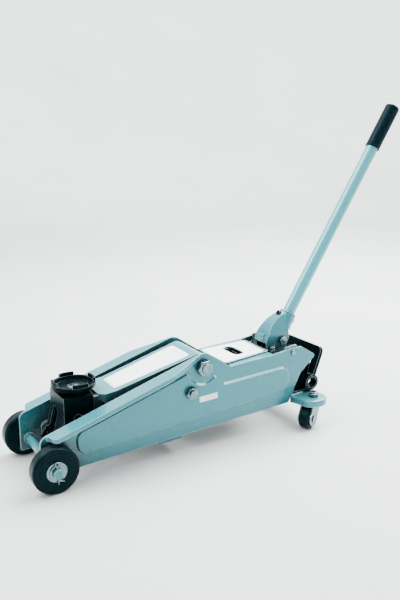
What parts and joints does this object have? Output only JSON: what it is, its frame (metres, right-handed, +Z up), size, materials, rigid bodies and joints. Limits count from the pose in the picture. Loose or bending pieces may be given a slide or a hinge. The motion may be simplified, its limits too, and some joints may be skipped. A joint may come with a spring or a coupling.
{
  "type": "hydraulic trolley jack",
  "caption": "Low hydraulic floor jack on front wheels and rear swivel casters, with pressed side plates, lift arm carrying a lugged saddle, upright pump handle and rear foot pedal.",
  "frame": {"origin": "on the floor under the middle of the overall box", "axes": "+Z up, +X from the front wheels towards the handle, Y across"},
  "size_m": [0.8272, 0.218, 0.6229],
  "materials": {
    "body_paint": "gloss silver-grey paint",
    "black_paint": "satin black paint",
    "wheel_black": "black enamel",
    "zinc": "bright zinc plate",
    "ram_chrome": "hard chrome",
    "spring_steel": "oiled spring wire",
    "grip_rubber": "moulded rubber"
  },
  "bodies": {
    "chassis": {"side_plate_left": "body_paint", "side_plate_right": "body_paint", "front_axle": "body_paint", "axle_collars": "body_paint", "wheel_washers": "zinc", "wheel_split_pins": "zinc", "lift_pivot_bolt": "zinc", "lift_pivot_bushes": "zinc", "lift_pivot_nuts": "zinc", "rod_pivot_bolts": "zinc", "rod_pivot_nuts": "zinc", "cover_plate": "body_paint", "cover_screws": "zinc", "cross_member": "body_paint", "caster_plate": "body_paint", "caster_races": "zinc", "caster_studs": "zinc", "caster_nuts": "zinc", "pump_block": "black_paint", "reservoir": "black_paint", "gland_nut": "zinc", "filler_plug": "zinc", "unit_brackets": "zinc", "unit_screws": "zinc", "socket_pivot_bolt": "zinc", "socket_pivot_nut": "zinc", "pedal_ears": "black_paint", "return_springs": "spring_steel", "plunger_spring": "spring_steel"},
    "front_wheel_left": {"front_wheel_left": "wheel_black", "wheel_hub_left": "zinc"},
    "front_wheel_right": {"front_wheel_right": "wheel_black", "wheel_hub_right": "zinc"},
    "caster_swivel_left": {"caster_fork_left": "zinc", "caster_rivet_left": "zinc"},
    "caster_swivel_right": {"caster_fork_right": "zinc", "caster_rivet_right": "zinc"},
    "caster_wheel_left": {"caster_wheel_left": "wheel_black"},
    "caster_wheel_right": {"caster_wheel_right": "wheel_black"},
    "lift_arm": {"lift_arm": "body_paint"},
    "saddle_bracket": {"saddle_bracket": "black_paint", "saddle_pivot_pin": "black_paint", "bracket_lower_pin": "black_paint"},
    "saddle": {"saddle": "black_paint", "saddle_screw": "zinc"},
    "radius_rods": {"radius_rods": "body_paint"},
    "ram": {"ram": "ram_chrome", "crosshead": "zinc", "crosshead_pin": "zinc"},
    "handle_socket": {"handle_socket": "body_paint", "clamp_screw": "black_paint", "latch_pin": "zinc", "pump_pusher": "zinc"},
    "pump_plunger": {"pump_plunger": "zinc"},
    "release_valve": {"release_valve": "zinc"},
    "handle": {"handle_tube": "body_paint", "handle_grip": "grip_rubber"},
    "foot_pedal": {"foot_pedal": "black_paint"}
  },
  "joints": [
    {"name": "lift_arm_pivot", "type": "hinge", "parent": "chassis", "child": "lift_arm", "pos_m": [-0.08786, 0, 0.15321], "axis": [0, 1, 0], "range_deg": [0, 46]},
    {"name": "saddle_bracket_pivot", "type": "hinge", "parent": "lift_arm", "child": "saddle_bracket", "pos_m": [-0.3159, 0, 0.09658], "axis": [0, 1, 0], "range_deg": [-46, 0]},
    {"name": "saddle_swivel", "type": "hinge", "parent": "saddle_bracket", "child": "saddle", "pos_m": [-0.30929, 0, 0.134], "axis": [0, 0, 1], "continuous": true},
    {"name": "radius_rod_pivot", "type": "hinge", "parent": "chassis", "child": "radius_rods", "pos_m": [-0.11543, 0, 0.1115], "axis": [0, 1, 0], "range_deg": [0, 46]},
    {"name": "ram_slide", "type": "slide", "parent": "chassis", "child": "ram", "axis": [-0.9982, 0, -0.0593], "range_m": [0, 0.05114], "deforming": ["return_springs"]},
    {"name": "handle_pump", "type": "hinge", "parent": "chassis", "child": "handle_socket", "pos_m": [0.11796, 0, 0.16243], "axis": [0, 1, 0], "range_deg": [-12, 35]},
    {"name": "plunger_slide", "type": "slide", "parent": "chassis", "child": "pump_plunger", "axis": [-0.9982, 0, -0.0593], "range_m": [-0.0069, 0.01954], "deforming": ["plunger_spring"]},
    {"name": "handle_twist", "type": "hinge", "parent": "handle_socket", "child": "handle", "pos_m": [0.11796, 0, 0.16243], "axis": [0.5314, 0, 0.8471], "range_deg": [0, 90]},
    {"name": "release_valve_turn", "type": "hinge", "parent": "chassis", "child": "release_valve", "pos_m": [0.08124, 0.02, 0.08912], "axis": [0.9982, 0, 0.0593], "range_deg": [0, 90]},
    {"name": "foot_pedal_press", "type": "hinge", "parent": "chassis", "child": "foot_pedal", "pos_m": [0.16697, 0, 0.07608], "axis": [0, 1, 0], "range_deg": [0, 25], "stiffness_Nm_per_rad": 6, "springref_deg": -8.59},
    {"name": "front_wheel_left_spin", "type": "hinge", "parent": "chassis", "child": "front_wheel_left", "pos_m": [-0.37459, -0.08, 0.039], "axis": [0, 1, 0], "continuous": true},
    {"name": "caster_left_swivel", "type": "hinge", "parent": "chassis", "child": "caster_swivel_left", "pos_m": [0.15141, -0.083, 0.05], "axis": [0, 0, 1], "continuous": true},
    {"name": "caster_left_spin", "type": "hinge", "parent": "caster_swivel_left", "child": "caster_wheel_left", "pos_m": [0.13116, -0.0916, 0.0208], "axis": [0.3907, -0.9205, 0], "continuous": true},
    {"name": "front_wheel_right_spin", "type": "hinge", "parent": "chassis", "child": "front_wheel_right", "pos_m": [-0.37459, 0.08, 0.039], "axis": [0, 1, 0], "continuous": true},
    {"name": "caster_right_swivel", "type": "hinge", "parent": "chassis", "child": "caster_swivel_right", "pos_m": [0.15141, 0.083, 0.05], "axis": [0, 0, 1], "continuous": true},
    {"name": "caster_right_spin", "type": "hinge", "parent": "caster_swivel_right", "child": "caster_wheel_right", "pos_m": [0.13116, 0.0744, 0.0208], "axis": [0.3907, -0.9205, 0], "continuous": true}
  ],
  "couplings": [
    {"joint": "saddle_bracket_pivot", "follows": "lift_arm_pivot", "ratio": -1},
    {"joint": "radius_rod_pivot", "follows": "lift_arm_pivot", "ratio": 1},
    {"joint": "ram_slide", "follows": "lift_arm_pivot", "m_per_rad": 0.063445},
    {"joint": "plunger_slide", "follows": "handle_pump", "m_per_rad": 0.0315},
    {"joint": "release_valve_turn", "follows": "handle_twist", "ratio": 1}
  ]
}
